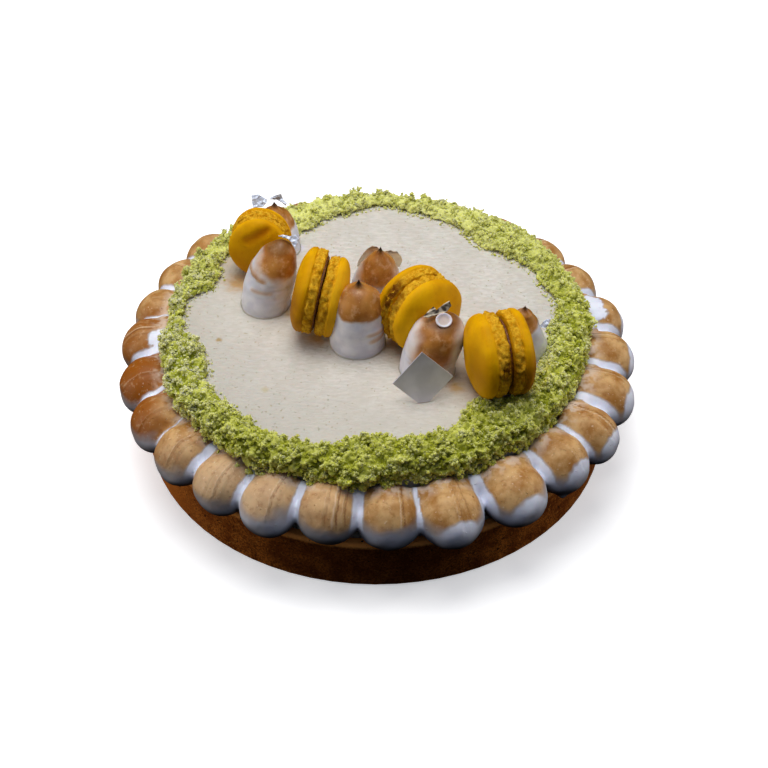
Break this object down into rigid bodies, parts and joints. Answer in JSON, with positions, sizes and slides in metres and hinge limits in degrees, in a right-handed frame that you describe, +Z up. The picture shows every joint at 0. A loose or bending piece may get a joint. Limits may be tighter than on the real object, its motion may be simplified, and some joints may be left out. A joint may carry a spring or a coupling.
{
  "type": "lemon tart",
  "caption": "Round lemon tart: pastry case, ring of torched meringue domes, cream disc edged with green crumbs, small macarons and meringue kisses on top.",
  "frame": {"origin": "middle of the tart's underside, where the pastry case rests", "axes": "+Z up, the tart's own axis and its shortest extent; +X to the right and +Y to the back as pictured"},
  "size_m": [0.2427, 0.2417, 0.1009],
  "materials": {
    "pastry": "baked sweet pastry, dry and fine-grained",
    "cream": "ivory set cream, soft satin skin with fine wrinkles",
    "crumb": "dry pistachio green crumbs",
    "meringue": "soft meringue, torched tan on top, white sides",
    "kiss": "dried meringue, white with torched brown tip",
    "macaron_shell": "smooth yellow almond shell with a ruffled foot",
    "macaron_filling": "dark brown ganache",
    "silver_leaf": "crinkled edible silver leaf",
    "tag": "satin silver card, bare"
  },
  "bodies": {
    "root": {"case": "pastry", "cream": "cream", "crumb_ring": "crumb", "meringue_01": "meringue", "meringue_02": "meringue", "meringue_03": "meringue", "meringue_04": "meringue", "meringue_05": "meringue", "meringue_06": "meringue", "meringue_07": "meringue", "meringue_08": "meringue", "meringue_09": "meringue", "meringue_10": "meringue", "meringue_11": "meringue", "meringue_12": "meringue", "meringue_13": "meringue", "meringue_14": "meringue", "meringue_15": "meringue", "meringue_16": "meringue", "meringue_17": "meringue", "meringue_18": "meringue", "meringue_19": "meringue", "meringue_20": "meringue", "meringue_21": "meringue", "meringue_22": "meringue", "meringue_23": "meringue", "meringue_24": "meringue", "meringue_25": "meringue", "meringue_26": "meringue", "kiss_1": "kiss", "kiss_2": "kiss", "kiss_3": "kiss", "kiss_4": "kiss", "kiss_5": "kiss", "kiss_6": "kiss", "macaron_1_shell_a": "macaron_shell", "macaron_1_shell_b": "macaron_shell", "macaron_1_filling": "macaron_filling", "macaron_2_shell_a": "macaron_shell", "macaron_2_shell_b": "macaron_shell", "macaron_2_filling": "macaron_filling", "macaron_3_shell_a": "macaron_shell", "macaron_3_shell_b": "macaron_shell", "macaron_3_filling": "macaron_filling", "macaron_4_shell_a": "macaron_shell", "macaron_4_shell_b": "macaron_shell", "macaron_4_filling": "macaron_filling", "leaf_1": "silver_leaf", "leaf_2": "silver_leaf", "leaf_3": "silver_leaf", "leaf_4": "silver_leaf", "leaf_5": "silver_leaf", "leaf_6": "silver_leaf", "leaf_7": "silver_leaf", "tag": "tag"}
  },
  "joints": []
}
